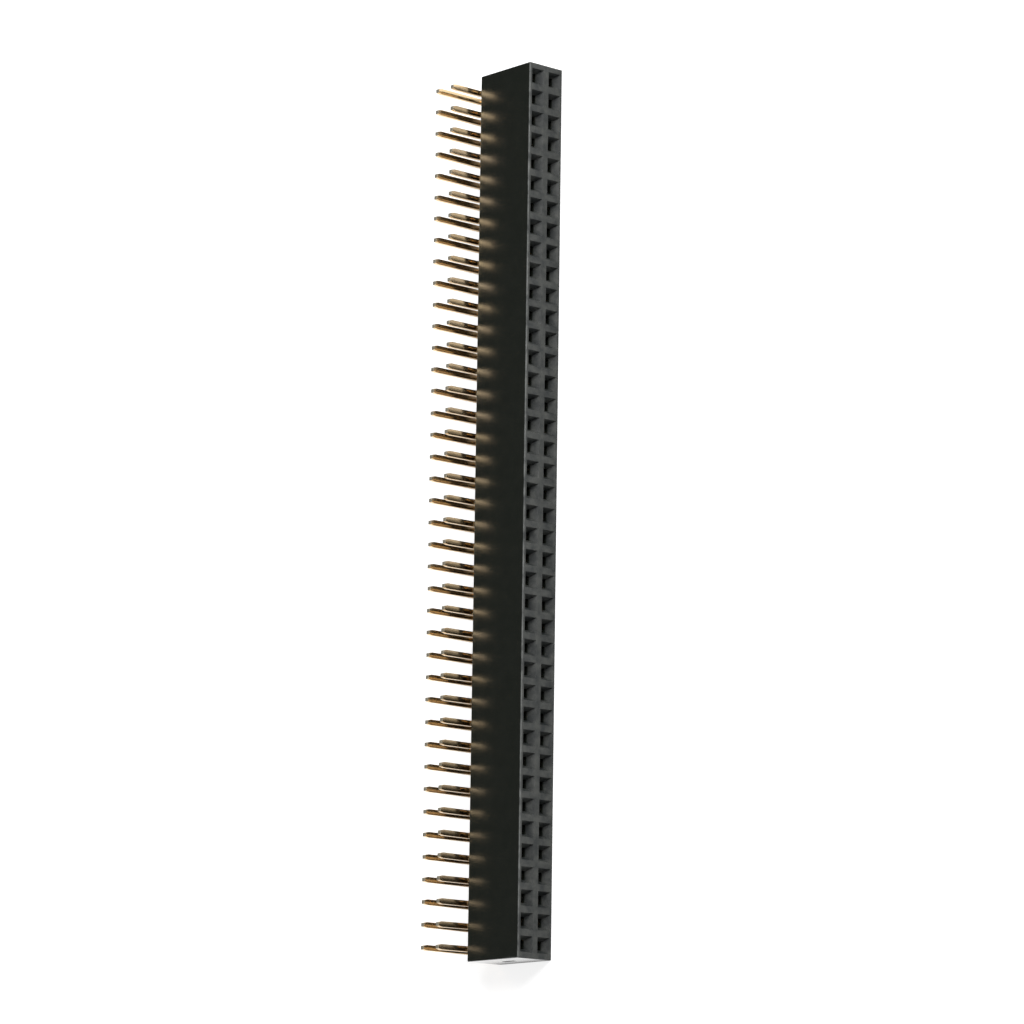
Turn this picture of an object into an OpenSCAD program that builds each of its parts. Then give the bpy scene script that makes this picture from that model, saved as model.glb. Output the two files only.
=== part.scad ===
// Right-angle female pin header: two rows of square sockets in one moulded housing. Each socket
// holds a stamped contact, pressed in from the back, whose tail bends ninety degrees and passes
// the face that sits on the circuit board.
// +X runs along the header, -Y is the mating side, +Z is the way that the tails point.
// The origin is the middle of the face that the header rests on, opposite the board face.

/* [Grid] */
// Number of columns, with two sockets in each
columns = 40; // [2:1:59]
// Distance between neighbouring sockets, along and across the header
pitch = 2.54; // [2.4:0.01:2.8]

/* [Housing] */
// From the mating face to the back face
body_depth = 8.5; // [7:0.1:12]
// From the rest face to the board face
body_height = 5; // [4.8:0.1:8]
// From the last column's centre to the end face
end_margin = 1.57; // [1.5:0.01:4]
// Rounding of the outer edges
edge_radius = 0.18; // [0.05:0.01:0.25]

/* [Sockets] */
// Side of the square lead-in where it meets the mating face
mouth_w = 1.8; // [1.2:0.01:2]
// Depth of the lead-in
mouth_depth = 0.75; // [0.3:0.05:1.1]
// Width of the hole that guides the pin, along the header
pin_hole_w = 1; // [0.8:0.01:1.2]
// Height of the hole that guides the pin
pin_hole_h = 0.76; // [0.7:0.01:1]
// Thickness of the wall between the mating face and the cavity
front_wall = 1.3; // [1.2:0.05:2]
// Bevel round the back of the cavity, where the contact goes in
entry_bevel = 0.14; // [0.05:0.01:0.2]

/* [Gate mark] */
// Length of the recess round the moulding gate, in one end face
gate_l = 2; // [1:0.1:4]
// Height of the recess
gate_h = 0.6; // [0.4:0.1:1]
// Depth of the recess
gate_depth = 0.3; // [0.1:0.05:0.5]
// Side of the stub that is left where the gate was snapped off
gate_stub = 0.24; // [0.1:0.02:0.3]

/* [Contact clip] */
// Thickness of the strip that the contacts are stamped from
strip_t = 0.25; // [0.15:0.01:0.32]
// Height of the folded clip that holds the contact in its cavity
clip_h = 1; // [0.9:0.01:1.3]
// Length of the clip
clip_l = 2.6; // [2:0.1:3.5]
// From the back face to the back edge of the clip
clip_setback = 0.35; // [0.2:0.05:0.8]
// Outer radius of the fold between the clip's floor and its walls
fold_radius = 0.34; // [0.33:0.01:0.4]
// Length of the barbs on the clip's walls
barb_l = 0.5; // [0.3:0.05:0.8]
// Height of the barbs
barb_h = 0.4; // [0.2:0.05:0.5]

/* [Contact springs] */
// Width of the two spring fingers where they leave the clip
finger_root_h = 0.9; // [0.6:0.05:0.9]
// Width of the fingers at their ends
finger_end_h = 0.6; // [0.4:0.05:0.8]
// Gap between the fingers where they grip the pin
pinch = 0.42; // [0.3:0.01:0.6]
// Radius of the fingers' bend where they grip
pinch_radius = 0.9; // [0.5:0.1:1.4]
// From the fingers' ends to where they grip
lip_l = 0.8; // [0.6:0.05:1.2]
// How far each finger's end hides behind the edge of the pin hole
lip_cover = 0.06; // [0.02:0.01:0.12]

/* [Tails] */
// Width of the solder tails, along the header
tail_w = 0.64; // [0.5:0.01:0.7]
// Inner radius of the tails' bend
bend_radius = 0.35; // [0.2:0.05:0.6]
// Rounding of the tails' long edges
tail_round = 0.1; // [0.04:0.01:0.15]
// From the back face to the middle of the nearer row of tails
tail_setback = 1.4; // [1.2:0.1:3]
// How far the tails pass the board face
tail_reach = 3.2; // [2:0.1:5]
// Length of the tapered tip
tip_l = 0.5; // [0.3:0.1:1.2]
// Width of the tip's blunt end, along the header
tip_w = 0.46; // [0.2:0.02:0.5]
// Thickness of the tip's blunt end
tip_t = 0.38; // [0.2:0.02:0.4]

/* [Clearances] */
// Between the clip's walls and the cavity's sides, bridged by the barbs
side_gap = 0.08; // [0.05:0.01:0.12]
// Between the clip and the cavity's floor and roof
lay_gap = 0.03; // [0.01:0.01:0.05]
// Between the fingers' ends and the cavity's sides
finger_gap = 0.09; // [0.05:0.01:0.15]
// Between the barbs and the cavity's sides
barb_gap = 0.01; // [0.01:0.01:0.03]
// Between the fingers' ends and the wall in front of them
tip_gap = 0.2; // [0.1:0.05:0.4]

/* [Hidden] */
// One node for the housing, and one for each column's two contacts
pair_names = [for (c = [1:columns]) str("contact_pair_", c < 10 ? "0" : "", c)];

// Rounded stretches: facets of a full circle, and of a finger's bend
$fn = 32;
bend_steps = 5;
// Overrun of a cut past the face that it opens
over = 0.1;

front_y = -body_depth / 2;
back_y = body_depth / 2;
body_length = (columns - 1) * pitch + 2 * end_margin;

// The cavity clears the fingers' ends on both sides and the clip above and below
cavity_w = pin_hole_w + 2 * (lip_cover + strip_t + finger_gap);
cavity_h = clip_h + 2 * lay_gap;
cavity_y = front_y + front_wall;

clip_w = cavity_w - 2 * side_gap;
clip_y = back_y - clip_setback;
tail_t = 2 * strip_t;
tail_z = tail_t / 2 - clip_h / 2;
turn_r = bend_radius + tail_t / 2;
tip_z = body_height + tail_reach;

// A finger's middle line: from inside the clip's wall, round the bend that grips the pin, to its end
finger_root = [clip_w / 2 - strip_t / 2, clip_y - clip_l + strip_t];
finger_end = [pin_hole_w / 2 + lip_cover + strip_t / 2, cavity_y + tip_gap];
bend_centre = [pinch / 2 + strip_t / 2 + pinch_radius, finger_end.y + lip_l];

function column_x(c) = (c - (columns - 1) / 2) * pitch;
function row_z(r) = body_height / 2 + (r - 1 / 2) * pitch;
function tail_y(r) = back_y + tail_setback + (1 - r) * pitch;

// Direction from the centre of a circle to the point where the line from p touches it
function touch_angle(p, centre, radius, side) =
    let (d = p - centre) atan2(d.y, d.x) + side * acos(radius / norm(d));
function unit(a) = [cos(a), sin(a)];

// One edge of a finger, at the given distance outside its middle line
function finger_edge(shift) =
    let (
        a0 = touch_angle(finger_root, bend_centre, pinch_radius, 1),
        a1 = touch_angle(finger_end, bend_centre, pinch_radius, -1) + 360
    ) [
        finger_root + shift * unit(a0),
        for (k = [0:bend_steps])
            bend_centre + (pinch_radius + shift) * unit(a0 + (a1 - a0) * k / bend_steps),
        finger_end + shift * unit(a1)
    ];

function reversed(list) = [for (k = [len(list) - 1:-1:0]) list[k]];

// A rectangle with four round corners
module round_rect(w, h, r) {
    square([w, h - 2 * r], center = true);
    square([w - 2 * r, h], center = true);
    for (x = [-1, 1], y = [-1, 1])
        translate([x * (w / 2 - r), y * (h / 2 - r)]) circle(r);
}

// A four-sided taper along +Y, from w0 x h0 at its start to w1 x h1 at its end
module taper(w0, h0, w1, h1, l) {
    intersection() {
        linear_extrude(height = max(h0, h1), center = true)
            polygon([[-w0 / 2, 0], [w0 / 2, 0], [w1 / 2, l], [-w1 / 2, l]]);
        rotate([90, 0, 90]) linear_extrude(height = max(w0, w1), center = true)
            polygon([[0, -h0 / 2], [0, h0 / 2], [l, h1 / 2], [l, -h1 / 2]]);
    }
}

// The outside of the housing, with every edge rounded
module housing_block() {
    translate([0, 0, body_height / 2]) intersection() {
        linear_extrude(height = body_height, center = true)
            round_rect(body_length, body_depth, edge_radius);
        rotate([90, 0, 0]) linear_extrude(height = body_depth, center = true)
            round_rect(body_length, body_height, edge_radius);
        rotate([90, 0, 90]) linear_extrude(height = body_length, center = true)
            round_rect(body_depth, body_height, edge_radius);
    }
}

// The space of one socket: lead-in, pin hole, cavity and the bevel at its back
module socket() {
    grow_w = (mouth_w - pin_hole_w) / mouth_depth * over;
    grow_h = (mouth_w - pin_hole_h) / mouth_depth * over;
    translate([0, front_y - over, 0])
        taper(mouth_w + grow_w, mouth_w + grow_h, pin_hole_w, pin_hole_h, mouth_depth + over);
    translate([-pin_hole_w / 2, front_y + mouth_depth - over, -pin_hole_h / 2])
        cube([pin_hole_w, front_wall - mouth_depth + 2 * over, pin_hole_h]);
    translate([-cavity_w / 2, cavity_y, -cavity_h / 2])
        cube([cavity_w, body_depth - front_wall + over, cavity_h]);
    translate([0, back_y - entry_bevel, 0])
        taper(cavity_w, cavity_h, cavity_w + 2 * (entry_bevel + over),
              cavity_h + 2 * (entry_bevel + over), entry_bevel + over);
}

// The recess in the end face round the moulding gate, less the stub left in it
module gate_mark() {
    translate([-body_length / 2, 0, body_height / 2]) difference() {
        cube([2 * gate_depth, gate_l, gate_h], center = true);
        translate([gate_depth, 0, 0]) cube([gate_depth, gate_stub, gate_stub], center = true);
    }
}

module housing() {
    color([0.13, 0.13, 0.13]) difference() {
        housing_block();
        for (c = [0:columns - 1], r = [0, 1])
            translate([column_x(c), 0, row_z(r)]) socket();
        gate_mark();
    }
}

// A rectangle whose two lower corners are round
module round_foot(w, h, r) {
    translate([-w / 2, r - h / 2]) square([w, h - r]);
    translate([r - w / 2, -h / 2]) square([w - 2 * r, h / 2]);
    for (x = [-1, 1]) translate([x * (w / 2 - r), r - h / 2]) circle(r);
}

// The folded clip: a floor and two walls, open at the top
module clip() {
    translate([0, clip_y, 0]) rotate([90, 0, 0]) linear_extrude(height = clip_l) difference() {
        round_foot(clip_w, clip_h, fold_radius);
        translate([0, strip_t]) round_foot(clip_w - 2 * strip_t, clip_h, fold_radius - strip_t);
    }
}

// A barb on the outside of a wall, with its ramp to the front
module barb() {
    barb_x = clip_w / 2 + side_gap - barb_gap;
    barb_y = clip_y - clip_l / 2;
    linear_extrude(height = barb_h, center = true)
        polygon([
            [clip_w / 2 - strip_t / 2, barb_y - barb_l],
            [clip_w / 2, barb_y - barb_l],
            [barb_x, barb_y - barb_l / 4],
            [barb_x, barb_y],
            [clip_w / 2 - strip_t / 2, barb_y]
        ]);
}

// A spring finger, which narrows as it leans in to grip the pin, and flares at its end
module finger() {
    intersection() {
        linear_extrude(height = finger_root_h, center = true)
            polygon(concat(finger_edge(strip_t / 2), reversed(finger_edge(-strip_t / 2))));
        translate([0, finger_end.y - over, 0])
            taper(cavity_w, finger_end_h, cavity_w, finger_root_h,
                  finger_root.y - finger_end.y + 2 * over);
    }
}

// The tail: the strip folded double, led out of the back and bent towards the board
module tail(r) {
    leg_y = clip_y - clip_l / 2;
    turn_y = tail_y(r) - turn_r;
    straight = tip_z - tip_l - row_z(r) - tail_z - turn_r;
    translate([0, turn_y, tail_z]) rotate([90, 0, 0])
        linear_extrude(height = turn_y - leg_y) round_rect(tail_w, tail_t, tail_round);
    translate([0, turn_y, tail_z + turn_r]) rotate([90, 0, 90]) rotate([0, 0, -90])
        rotate_extrude(angle = 90)
            translate([turn_r, 0]) round_rect(tail_t, tail_w, tail_round);
    translate([0, tail_y(r), tail_z + turn_r]) {
        linear_extrude(height = straight) round_rect(tail_w, tail_t, tail_round);
        translate([0, 0, straight]) intersection() {
            linear_extrude(height = tip_l) round_rect(tail_w, tail_t, tail_round);
            rotate([90, 0, 0]) taper(tail_w, tail_t, tip_w, tip_t, tip_l);
        }
    }
}

// A contact, about the axis of its socket
module contact(r) {
    clip();
    for (s = [0, 1]) mirror([s, 0, 0]) {
        barb();
        finger();
    }
    tail(r);
}

// The two contacts of one column
module contact_pair(c) {
    color([0.80, 0.62, 0.33]) for (r = [0, 1])
        translate([column_x(c), 0, row_z(r)]) contact(r);
}

housing();
for (c = [0:columns - 1])
    contact_pair(c);
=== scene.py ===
import math

import bmesh
import bpy
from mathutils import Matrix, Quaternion, Vector


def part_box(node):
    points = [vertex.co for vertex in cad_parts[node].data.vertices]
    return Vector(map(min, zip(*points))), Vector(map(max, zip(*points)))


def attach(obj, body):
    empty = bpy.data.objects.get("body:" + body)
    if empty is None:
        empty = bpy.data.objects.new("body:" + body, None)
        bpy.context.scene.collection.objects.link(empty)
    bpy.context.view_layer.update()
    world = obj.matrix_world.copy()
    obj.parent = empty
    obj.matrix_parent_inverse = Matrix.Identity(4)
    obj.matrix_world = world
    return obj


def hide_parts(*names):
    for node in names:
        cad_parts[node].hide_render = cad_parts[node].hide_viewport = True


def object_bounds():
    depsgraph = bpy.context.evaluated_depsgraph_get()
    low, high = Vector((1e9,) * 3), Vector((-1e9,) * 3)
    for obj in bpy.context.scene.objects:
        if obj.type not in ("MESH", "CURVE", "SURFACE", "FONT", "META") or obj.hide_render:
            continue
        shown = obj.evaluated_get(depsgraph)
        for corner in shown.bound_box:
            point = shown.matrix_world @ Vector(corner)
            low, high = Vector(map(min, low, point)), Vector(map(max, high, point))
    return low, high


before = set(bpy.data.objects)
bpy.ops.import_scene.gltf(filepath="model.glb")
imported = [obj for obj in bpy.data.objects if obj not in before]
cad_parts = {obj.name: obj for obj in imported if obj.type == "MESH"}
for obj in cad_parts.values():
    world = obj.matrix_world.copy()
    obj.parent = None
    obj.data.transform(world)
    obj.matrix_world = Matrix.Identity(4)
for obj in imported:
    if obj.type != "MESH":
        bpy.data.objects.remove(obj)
cad_low, cad_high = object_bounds()


# ---------------------------------------------------------------- Camera
# A long lens looks down on the board face and the mating face at once. The camera is rolled on
# its side, so that the header stands upright in the picture.
aim = Vector((-0.0004, 0.0003, 0.00275))
distance = 0.487
azimuth, elevation, roll = (math.radians(angle) for angle in (-14.52, 40.71, -79.59))
backwards = Vector((
    math.sin(azimuth) * math.cos(elevation),
    -math.cos(azimuth) * math.cos(elevation),
    math.sin(elevation),
))
level = backwards.to_track_quat("Z", "Y")
camera = bpy.data.objects.new("camera", bpy.data.cameras.new("camera"))
camera.data.sensor_width = 36
camera.data.lens = 151.5
camera.data.clip_start = 0.01
camera.location = aim + distance * backwards
camera.rotation_euler = (level @ Quaternion((0, 0, 1), roll)).to_euler()
bpy.context.scene.collection.objects.link(camera)
bpy.context.scene.camera = camera
bpy.context.scene.view_settings.view_transform = "Standard"


# ---------------------------------------------------------------- Table
# A white painted table top that the header lies on. It glows, for camera, mirror and glass rays
# only, so that its lit parts are pure white and keep a soft shadow. There is no glow below the
# header, and mirrors see less of it close in front of the header and behind it: there the glow
# carries a painted shadow of the header.
class Wire:
    """A value, colour or vector in a node tree. Arithmetic on a value adds Math nodes."""

    def __init__(self, tree, socket=None):
        self.tree, self.socket = tree, socket

    def node(self, kind, settings=None, inputs=None, output=0):
        """Adds a node, sets it, feeds its sockets by name or number, and gives one output.

        Among the settings, items is the number of values that an index switch chooses from.
        """
        node = self.tree.nodes.new(kind)
        for name, setting in (settings or {}).items():
            if name == "items":
                for _ in range(setting - len(node.index_switch_items)):
                    node.index_switch_items.new()
            else:
                setattr(node, name, setting)
        for key, value in (inputs or {}).items():
            socket = self.find(node.inputs, key)
            for feed in value if isinstance(value, list) else [value]:
                if isinstance(feed, Wire):
                    self.tree.links.new(feed.socket, socket)
                else:
                    socket.default_value = feed
        return Wire(self.tree, self.find(node.outputs, output) if node.outputs else None)

    @staticmethod
    def find(sockets, key):
        """The socket with that number or name among those in use."""
        used = [s for s in sockets if s.enabled]
        return used[key] if isinstance(key, int) else next(s for s in used if s.name == key)

    def part(self, axis):
        """The X, Y or Z part of a vector."""
        return self.node("ShaderNodeSeparateXYZ", inputs={0: self}, output=axis)

    def math(self, operation, *values):
        return self.node("ShaderNodeMath", {"operation": operation}, dict(enumerate(values)))

    def vector(self, operation, *values):
        return self.node("ShaderNodeVectorMath", {"operation": operation}, dict(enumerate(values)))

    def blend(self, factor, low, high):
        """Goes from the colour low to the colour high as factor goes from 0 to 1."""
        values = {"Factor": factor, "A": low, "B": high}
        return self.node("ShaderNodeMix", {"data_type": "RGBA"}, values)

    def __add__(self, other):
        return self.math("ADD", self, other)

    def __radd__(self, other):
        return self.math("ADD", other, self)

    def __sub__(self, other):
        return self.math("SUBTRACT", self, other)

    def __rsub__(self, other):
        return self.math("SUBTRACT", other, self)

    def __mul__(self, other):
        return self.math("MULTIPLY", self, other)

    def __rmul__(self, other):
        return self.math("MULTIPLY", other, self)

    def __truediv__(self, other):
        return self.math("DIVIDE", self, other)

    def __rtruediv__(self, other):
        return self.math("DIVIDE", other, self)


def material(name):
    """A new material with an empty tree, and a Wire to build in it."""
    made = bpy.data.materials.new(name)
    made.use_nodes = True
    made.node_tree.nodes.clear()
    return made, Wire(made.node_tree)


def ramp(value, start, end, low=0, high=1):
    """Goes from low to high as the value goes from start to end."""
    values = {"Value": value, "From Min": start, "From Max": end, "To Min": low, "To Max": high}
    return value.node("ShaderNodeMapRange", inputs=values)


def rays(wire, *kinds):
    """1 for a ray of these kinds, and 0 for others."""
    return sum(wire.node("ShaderNodeLightPath", output=f"Is {kind} Ray") for kind in kinds)


MM = 0.001
table_reach = 2.5
view_glow, mirror_glow = 0.74, 0.85
# Mirrors see the glow grow between these two places in front of the header's middle, and over
# these distances behind its back face and past its ends. Nearer the header the glow is dimmed as
# a painted shadow of the header.
front_dark, front_lit = -2 * MM, -12 * MM
back_fade, edge_fade = 12 * MM, 0.4 * MM
housing_low, housing_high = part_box("housing")

table_white, wire = material("table_white")
place = wire.node("ShaderNodeTexCoord", output="Object")
backward = place.part("Y")
past_end = wire.math("ABSOLUTE", place.part("X")) - housing_high.x
beside = wire.math("MAXIMUM", past_end, wire.math("ABSOLUTE", backward) - housing_high.y)
in_front = ramp(backward, front_dark, front_lit)
behind = ramp(backward, housing_high.y, housing_high.y + back_fade)
# Where mirrors see the glow whole, outside the header's painted shadow
outside_painted_shadow = wire.math("MAXIMUM", in_front, behind)
outside_painted_shadow = wire.math("MAXIMUM", outside_painted_shadow, ramp(past_end, 0, edge_fade))
in_view = rays(wire, "Camera", "Transmission") * view_glow
in_mirrors = rays(wire, "Glossy") * outside_painted_shadow * mirror_glow
# No glow below the header, as a painted shadow under it
share = (in_view + in_mirrors) * ramp(beside, -edge_fade, 0)
paint = wire.node("ShaderNodeBsdfDiffuse", inputs={"Color": (0.8, 0.8, 0.8, 1)})
glow = wire.node("ShaderNodeEmission", inputs={"Strength": 1.0})
glowing = wire.node("ShaderNodeAddShader", inputs={0: paint, 1: glow})
top = wire.node("ShaderNodeMixShader", inputs={0: share, 1: paint, 2: glowing})
wire.node("ShaderNodeOutputMaterial", inputs={"Surface": top})

table = bpy.data.objects.new("table", bpy.data.meshes.new("table"))
corners = [(-1, -1), (1, -1), (1, 1), (-1, 1)]
table.data.from_pydata(
    [(x * table_reach, y * table_reach, cad_low.z) for x, y in corners], [], [(0, 1, 2, 3)]
)
table.data.materials.append(table_white)
bpy.context.scene.collection.objects.link(table)


# ---------------------------------------------------------------- Light
# One large soft lamp in front of the header and above it, a weaker one behind it at the left, a
# faint one high at the back, and a panel in front that only glossy faces mirror. The room is
# white, but it lights things dimly, and glossy faces mirror it darker still.
def lamp(name, place, width, height, watts):
    """A soft rectangular lamp that points at the header and isn't seen itself."""
    data = bpy.data.lights.new(name, "AREA")
    data.shape = "RECTANGLE"
    data.size, data.size_y, data.energy = width, height, watts
    made = bpy.data.objects.new(name, data)
    made.location = place
    made.rotation_euler = Vector(place).to_track_quat("Z", "Y").to_euler()
    made.visible_camera = False
    bpy.context.scene.collection.objects.link(made)
    return made


# Each lamp's name, place, width, height and watts
lamp("key_lamp", (0.46, -0.53, 0.56), 0.5, 0.5, 8)
lamp("back_lamp", (-0.75, 0.35, 0.25), 0.5, 0.3, 1.5)
front_lamp = lamp("front_lamp", (0.23, -0.655, 0.58), 0.34, 0.5, 1.8)
front_lamp.visible_diffuse = False
lamp("high_lamp", (0.23, 0.88, 0.78), 1.0, 1.0, 0.15)

room_soft, room_mirrored = 0.2, 0.03
world = bpy.data.worlds.new("room")
world.use_nodes = True
world.node_tree.nodes.clear()
bpy.context.scene.world = world
wire = Wire(world.node_tree)
seen = rays(wire, "Camera", "Transmission") + rays(wire, "Diffuse") * room_soft
seen = seen + rays(wire, "Glossy") * room_mirrored
room = wire.node("ShaderNodeBackground", inputs={"Strength": seen})
wire.node("ShaderNodeOutputWorld", inputs={"Surface": room})


# ---------------------------------------------------------------- Housing
# One moulded block of black glass-filled plastic, with forty columns of two square sockets that
# the contacts are pushed into from the back. The mould is smooth on the long faces, polished at
# the ends, and left rougher on the mating face and in the lead-ins.
cloud_size, grain_size, relief_depth = 1.1 * MM, 0.15 * MM, 0.02 * MM
# The height band of the lighter edge line, which is partly scuffing and partly a painted highlight
rubbed_highlight_from, rubbed_highlight_to = housing_high.z - 0.13 * MM, housing_high.z - 0.1 * MM
flat_end = housing_high.x - 0.05 * MM
edge_rounding, same_point = 0.03 * MM, 0.0001 * MM
same_plane, sharp_edge = math.radians(0.5), math.radians(35.5)
# How far to the front a face is turned, from 0 to 1: where the mould becomes rough, where the
# lead-ins end and the mating face begins, and where the rubbed edge with its painted highlight
# begins.
rough_turn, mating_turn, edge_turn = (0.15, 0.4), (0.8, 0.98), (0.05, 0.3)
end_turn = 0.97


def noise(place, size, detail=2):
    """Soft random blotches of about that size, from 0 to 1."""
    values = {"Vector": place, "Scale": 1 / size, "Detail": detail}
    return place.node("ShaderNodeTexNoise", inputs=values)


moulded_black, wire = material("moulded_black")
place = wire.node("ShaderNodeTexCoord", output="Object")
facing = wire.node("ShaderNodeNewGeometry", output="Normal")
forward = 0 - facing.part("Y")
endways = wire.math("ABSOLUTE", facing.part("X"))
rough_side = wire.node(
    "ShaderNodeMapRange",
    {"interpolation_type": "SMOOTHSTEP"},
    {"Value": forward, "From Min": rough_turn[0], "From Max": rough_turn[1]},
)
cloud = noise(place, cloud_size, 3)
grain = noise(place, grain_size, 3)

# The black is patchy on the rough faces, and a little paler on the mating face than in its
# lead-ins. Along the edge between board face and mating face a lighter line is painted: partly
# scuffing, and partly a painted highlight where the rounded edge catches the front light.
smooth_black = wire.blend(cloud, (0.009, 0.0115, 0.0085, 1), (0.017, 0.0195, 0.0155, 1))
patches = grain * 0.9 + cloud * 2.4 + ramp(forward, *mating_turn) * 0.18 - 1.33
rough_black = wire.blend(patches, (0.005, 0.008, 0.008, 1), (0.058, 0.061, 0.055, 1))
black = wire.blend(rough_side, smooth_black, rough_black)
# The lighter edge line: partly scuffing, partly a painted highlight
rubbed_highlight = ramp(place.part("Z"), rubbed_highlight_from, rubbed_highlight_to)
rubbed_highlight = rubbed_highlight * ramp(forward, *edge_turn) * ramp(cloud, 0.25, 0.75)

# The smooth faces are satin and the rough ones duller. The flat ends have a clear polish.
dull = rough_side * (0.21 + grain * 0.2) + 0.22 + cloud * 0.06
outermost = wire.math("GREATER_THAN", wire.math("ABSOLUTE", place.part("X")), flat_end)
polished_end = wire.math("GREATER_THAN", endways, end_turn) * outermost
relief = wire.node("ShaderNodeBump", inputs={
    "Strength": 0.25,
    "Distance": relief_depth,
    "Height": grain * (0.3 + rough_side),
})
plastic = wire.node("ShaderNodeBsdfPrincipled", inputs={
    # The pale edge colour is partly scuffing and partly a painted highlight
    "Base Color": wire.blend(rubbed_highlight, black, (0.16, 0.165, 0.16, 1)),
    "Roughness": dull,
    "IOR": 1.52,
    "Coat Weight": polished_end,
    "Coat Roughness": 0.12,
    "Coat IOR": 1.6,
    "Normal": relief,
})
wire.node("ShaderNodeOutputMaterial", inputs={"Surface": plastic})

housing = bpy.data.objects.new("moulded_housing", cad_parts["housing"].data.copy())
bpy.context.scene.collection.objects.link(housing)
shell = bmesh.new()
shell.from_mesh(housing.data)
bmesh.ops.remove_doubles(shell, verts=shell.verts, dist=same_point)
bmesh.ops.dissolve_limit(shell, angle_limit=same_plane, verts=shell.verts, edges=shell.edges)
shell.to_mesh(housing.data)
shell.free()
housing.data.materials.clear()
housing.data.materials.append(moulded_black)
housing.data.shade_smooth()
rounding = housing.modifiers.new("edges", "BEVEL")
rounding.width = edge_rounding
rounding.segments = 2
rounding.limit_method = "ANGLE"
rounding.angle_limit = sharp_edge
flat_faces = housing.modifiers.new("flat_faces", "WEIGHTED_NORMAL")
flat_faces.weight = 100
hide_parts("housing")
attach(housing, "root")


# ---------------------------------------------------------------- Contacts
# Each column has two contacts, stamped from copper alloy strip, flashed with gold and held in the
# housing by barbs. A folded clip carries two spring fingers and the tail, which is bent up past
# the board face. One geometry node tree, in millimetres, makes the pair for each column.
pair_names = sorted(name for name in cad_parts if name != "housing")
first_low, first_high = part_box(pair_names[0])
second_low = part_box(pair_names[1])[0]

line_size, line_stretch, line_depth, stain_size = 0.09 * MM, 0.04, 0.01 * MM, 0.7 * MM
cut_from, cut_to = first_high.z - 0.09 * MM, first_high.z - 0.01 * MM

contact_gold, wire = material("contact_gold")
place = wire.node("ShaderNodeTexCoord", output="Object")
x, y, z = (place.part(axis) for axis in "XYZ")

# The flash differs a little from contact to contact, and has stains and lines along the way the
# strip was drawn. The tip is cut after plating, so it is greyer and duller.
tint = wire.node("ShaderNodeAttribute", {"attribute_name": "tint"}, output="Fac")
drawn = wire.node("ShaderNodeCombineXYZ", inputs={0: x, 1: (y + z) * line_stretch})
lines = noise(drawn, line_size)
stain = noise(place, stain_size)
flash = wire.blend(tint, (0.80, 0.59, 0.33, 1), (0.82, 0.63, 0.42, 1))
worn = wire.blend(lines * 0.5 + stain * 0.5, flash, (0.67, 0.50, 0.30, 1))
cut = ramp(z, cut_from, cut_to)
relief = wire.node("ShaderNodeBump", inputs={
    "Strength": 0.06,
    "Distance": line_depth,
    "Height": lines,
})
gold = wire.node("ShaderNodeBsdfPrincipled", inputs={
    "Base Color": wire.blend(cut, worn, (0.44, 0.40, 0.31, 1)),
    "Metallic": 1 - cut * 0.6,
    "Roughness": 0.15 + tint * 0.06 + stain * 0.04 + cut * 0.2,
    "Normal": relief,
})
wire.node("ShaderNodeOutputMaterial", inputs={"Surface": gold})

# Sizes in millimetres, then the steps in each kind of rounding
pitch = (second_low.x - first_low.x) / MM
strip = 0.25
front_wall, finger_clearance = 1.3, 0.2
clip_height, clip_length, clip_setback, clip_fold = 1.0, 2.6, 0.35, 0.215
barb_length, barb_height, barb_reach = 0.5, 0.4, 0.07
clip_width = (first_high.x - first_low.x) / MM - 2 * barb_reach
finger_root_height, finger_end_height, finger_inset = 0.9, 0.6, 0.01
grip_gap, grip_bend, grip_lip = 0.42, 0.9, 0.8
tail_thickness, tail_rounding, tip_edge, tip_bluntness = 0.5, 0.04, 0.03, 0.85
edge_count, fold_count, turn_count = 3, 6, 8
crease = math.radians(35)

# The tree for a pair. The loop at the end sets its column and seed, and the rest is the same
# for all.
tree = bpy.data.node_groups.new("contact_pair", "GeometryNodeTree")
wire = Wire(tree)
sizes = {
    "Column": 0.0,
    "Seed": 1.0,
    "Pitch": pitch,
    "Middle height": (housing_low.z + housing_high.z) / 2 / MM,
    "Back face": housing_high.y / MM,
    "Near tail": first_high.y / MM - tail_thickness / 2 - pitch,
    "Tail width": 0.64,
    "Tail thickness": tail_thickness,
    "Tail turn": 0.6,
    "Tip height": first_high.z / MM,
    "Tip length": 0.5,
    "Tip width": 0.42,
    "Lean": 0.04,
}
for name, size in sizes.items():
    tree.interface.new_socket(name, socket_type="NodeSocketFloat").default_value = size
tree.interface.new_socket("Contacts", in_out="OUTPUT", socket_type="NodeSocketGeometry")
given = {name: wire.node("NodeGroupInput", output=name) for name in sizes}


def spot(x, y, z):
    """A vector from its three parts."""
    return wire.node("ShaderNodeCombineXYZ", inputs={0: x, 1: y, 2: z})


def polyline(points):
    """An open line through some points, given as vectors."""
    line = wire.node("GeometryNodeCurvePrimitiveLine", inputs={"End": (0, 0, 1)})
    line = wire.node("GeometryNodeResampleCurve", inputs={"Curve": line, "Count": len(points)})
    index = wire.node("GeometryNodeInputIndex")
    switch = {"data_type": "VECTOR", "items": len(points)}
    place = wire.node("GeometryNodeIndexSwitch", switch, dict(enumerate([index, *points])))
    return wire.node("GeometryNodeSetPosition", inputs={"Geometry": line, "Position": place})


def rounded(line, radius, count):
    """The line with its corners made round, each in that many steps."""
    values = {"Curve": line, "Count": count, "Radius": radius, "Limit Radius": True}
    return wire.node("GeometryNodeFilletCurve", {"mode": "POLY"}, values)


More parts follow.
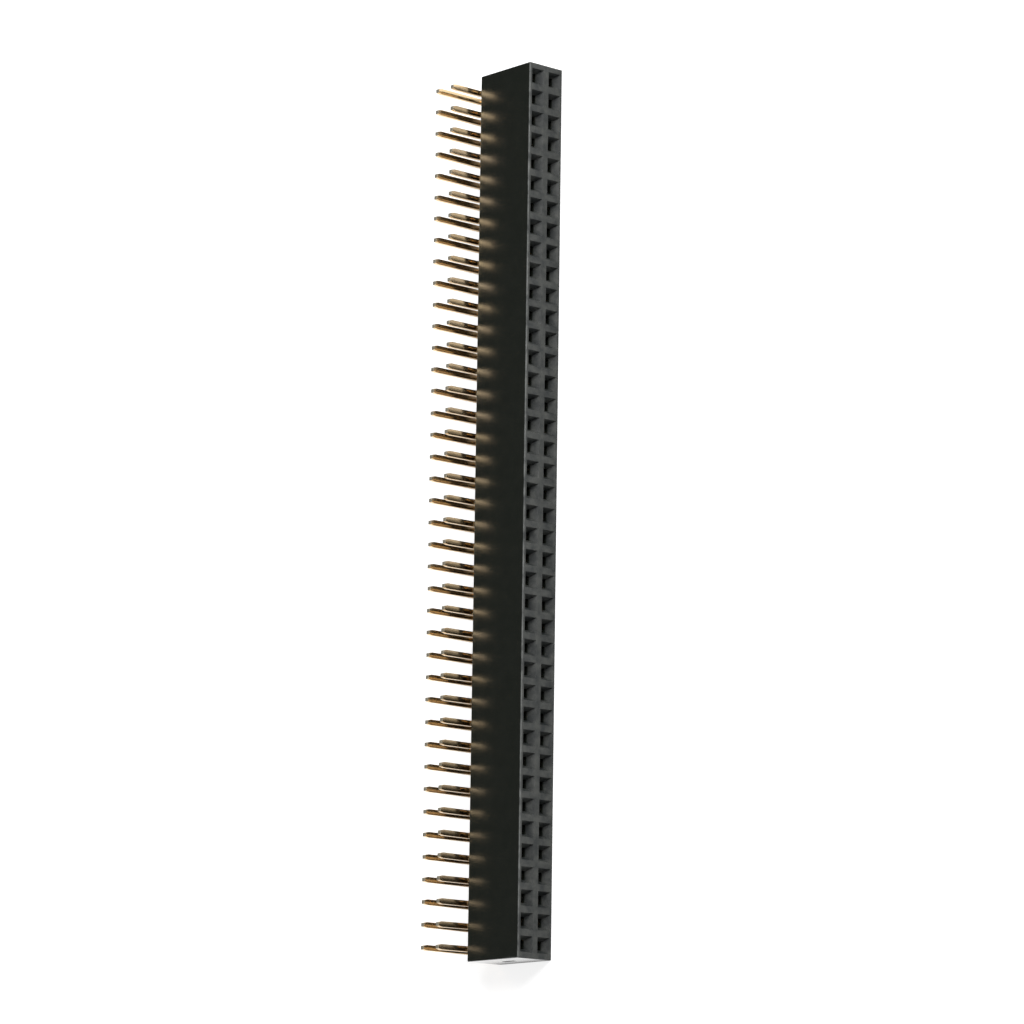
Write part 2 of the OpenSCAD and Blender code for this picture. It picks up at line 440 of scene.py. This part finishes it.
def sweep(line, upright, width, height, rounding=0):
    """A closed bar along the line. Its width lies along the vector upright."""
    values = {"Curve": line, "Normal": upright}
    line = wire.node("GeometryNodeSetCurveNormal", {"mode": "FREE"}, values)
    values = {"Width": width, "Height": height}
    section = wire.node("GeometryNodeCurvePrimitiveQuadrilateral", inputs=values)
    if rounding:
        section = rounded(section, rounding, edge_count)
    values = {"Curve": line, "Profile Curve": section, "Fill Caps": True}
    bar = wire.node("GeometryNodeCurveToMesh", inputs=values)
    values = {"Geometry": bar, "Distance": same_point / MM}
    return wire.node("GeometryNodeMergeByDistance", inputs=values)


def chance(seed, low, high):
    """A number between low and high that is the same in every run."""
    values = {"Min": low, "Max": high, "ID": given["Seed"], "Seed": seed}
    return wire.node("FunctionNodeRandomValue", {"data_type": "FLOAT"}, values)


# A finger's middle line has one corner, rounded to the bend that grips the pin. The corner is
# where the lines that touch the bend's circle meet.
clip_back = housing_high.y / MM - clip_setback
wall_x = (clip_width - strip) / 2
root = Vector((wall_x, clip_back - clip_length + strip))
end = Vector((wall_x - finger_inset, housing_low.y / MM + front_wall + finger_clearance))
centre = Vector(((grip_gap + strip) / 2 + grip_bend, end.y + grip_lip))
turns = []
for point, side in ((root, 1), (end, -1)):
    away = point - centre
    turns.append(math.atan2(away.y, away.x) + side * math.acos(grip_bend / away.length))
middle, half = (turns[0] + turns[1]) / 2 + math.pi, (turns[1] - turns[0]) / 2 + math.pi
reach = grip_bend / math.cos(half)
corner = centre + reach * Vector((math.cos(middle), math.sin(middle)))

position = wire.node("GeometryNodeInputPosition")
clip_middle = given["Back face"] - (clip_setback + clip_length / 2)
barb_start = clip_middle - barb_length
floor_z, rim_z = (strip - clip_height) / 2, clip_height / 2
leg_z = (given["Tail thickness"] - clip_height) / 2
narrowest = finger_end_height / finger_root_height
contacts = []
for row in (0, 1):
    # The clip: a strip folded to a trough, which is open at the top
    trough = polyline([
        spot(x * wall_x, clip_middle, z)
        for x, z in [(-1, rim_z), (-1, floor_z), (1, floor_z), (1, rim_z)]
    ])
    solids = [sweep(rounded(trough, clip_fold, fold_count), (0, 1, 0), clip_length, strip)]

    for side in (-1, 1):
        # A finger, which narrows towards its end
        bent = polyline([spot(side * x, y, 0) for x, y in (root, corner, end)])
        bent = rounded(bent, grip_bend, fold_count)
        finger = sweep(bent, (0, 0, 1), finger_root_height, strip)
        narrow = ramp(position.part("Y"), end.y, root.y, narrowest, 1)
        solids.append(wire.node("GeometryNodeSetPosition", inputs={
            "Geometry": finger,
            "Position": wire.vector("MULTIPLY", position, spot(1, 1, narrow)),
        }))

        # A barb: a wedge that rises towards the back
        barb_line = polyline([spot(side * wall_x, y, 0) for y in (barb_start, clip_middle)])
        risen = ramp(position.part("Y"), barb_start, clip_middle, 0, barb_reach)
        outer = wire.math("GREATER_THAN", side * position.part("X"), wall_x)
        solids.append(wire.node("GeometryNodeSetPosition", inputs={
            "Geometry": sweep(barb_line, (0, 0, 1), barb_height, strip),
            "Offset": spot(side * risen * outer, 0, 0),
        }))

    # The tail: a bar with rounded edges, turned upwards. The lower row has the long one.
    tail_y = given["Near tail"] + (1 - row) * given["Pitch"]
    row_z = given["Middle height"] + (row - 0.5) * given["Pitch"]
    tip_z = given["Tip height"] - row_z
    taper_start, taper_end = tip_z - given["Tip length"], tip_z - tip_edge
    bend = polyline([
        spot(0, clip_middle, leg_z),
        spot(0, tail_y, leg_z),
        spot(0, tail_y, taper_start),
        spot(0, tail_y, taper_end),
        spot(0, tail_y, tip_z),
    ])
    bend = rounded(bend, given["Tail turn"], turn_count)
    bar = sweep(bend, (1, 0, 0), given["Tail width"], given["Tail thickness"], tail_rounding)

    # Its upright stretch narrows to a blunt tip and leans a little, each tail in its own way
    height = position.part("Z")
    narrow = ramp(height, taper_start, taper_end, 1, given["Tip width"] / given["Tail width"])
    blunt = ramp(height, taper_end, tip_z, 1, tip_bluntness)
    lean = ramp(height, leg_z + given["Tail turn"], tip_z, 0, given["Lean"])
    leant = spot(lean * chance(row, -1, 1), lean * chance(row + 2, -1, 1), 0)
    axis = spot(0, tail_y, 0)
    pointed = wire.vector("SUBTRACT", position, axis)
    pointed = wire.vector("MULTIPLY", pointed, spot(blunt * narrow, blunt, 1))
    solids.append(wire.node("GeometryNodeSetPosition", inputs={
        "Geometry": bar,
        "Selection": wire.math("GREATER_THAN", height, leg_z + given["Tail thickness"]),
        "Position": wire.vector("ADD", wire.vector("ADD", pointed, axis), leant),
    }))

    united = wire.node(
        "GeometryNodeMeshBoolean", {"operation": "UNION", "solver": "EXACT"}, {"Mesh": solids}
    )
    moved = wire.node("GeometryNodeTransform", inputs={
        "Geometry": united,
        "Translation": spot(given["Column"], 0, row_z),
    })
    tinted = {"Geometry": moved, "Name": "tint", "Value": chance(row + 4, 0, 1)}
    contacts.append(wire.node("GeometryNodeStoreNamedAttribute", inputs=tinted))

both = wire.node("GeometryNodeJoinGeometry", inputs={0: contacts})
metres = wire.node("GeometryNodeTransform", inputs={"Geometry": both, "Scale": (MM, MM, MM)})
real = wire.node("GeometryNodeRealizeInstances", inputs={0: metres})
gilt = wire.node("GeometryNodeSetMaterial", inputs={0: real, "Material": contact_gold})
wire.node("NodeGroupOutput", inputs={0: gilt})
tree_inputs = {item.name: item.identifier for item in tree.interface.items_tree}

for number, name in enumerate(pair_names, 1):
    low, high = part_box(name)
    pair = bpy.data.objects.new(f"contacts_{number:02}", bpy.data.meshes.new("empty"))
    bpy.context.scene.collection.objects.link(pair)
    maker = pair.modifiers.new("contact_pair", "NODES")
    maker.node_group = tree
    maker[tree_inputs["Column"]] = (low.x + high.x) / 2 / MM
    maker[tree_inputs["Seed"]] = float(number)
    graph = bpy.context.evaluated_depsgraph_get()
    mesh = bpy.data.meshes.new_from_object(pair.evaluated_get(graph), depsgraph=graph)
    pair.modifiers.remove(maker)
    pair.data = mesh
    mesh.shade_smooth()
    mesh.set_sharp_from_angle(angle=crease)
    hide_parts(name)
    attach(pair, "root")
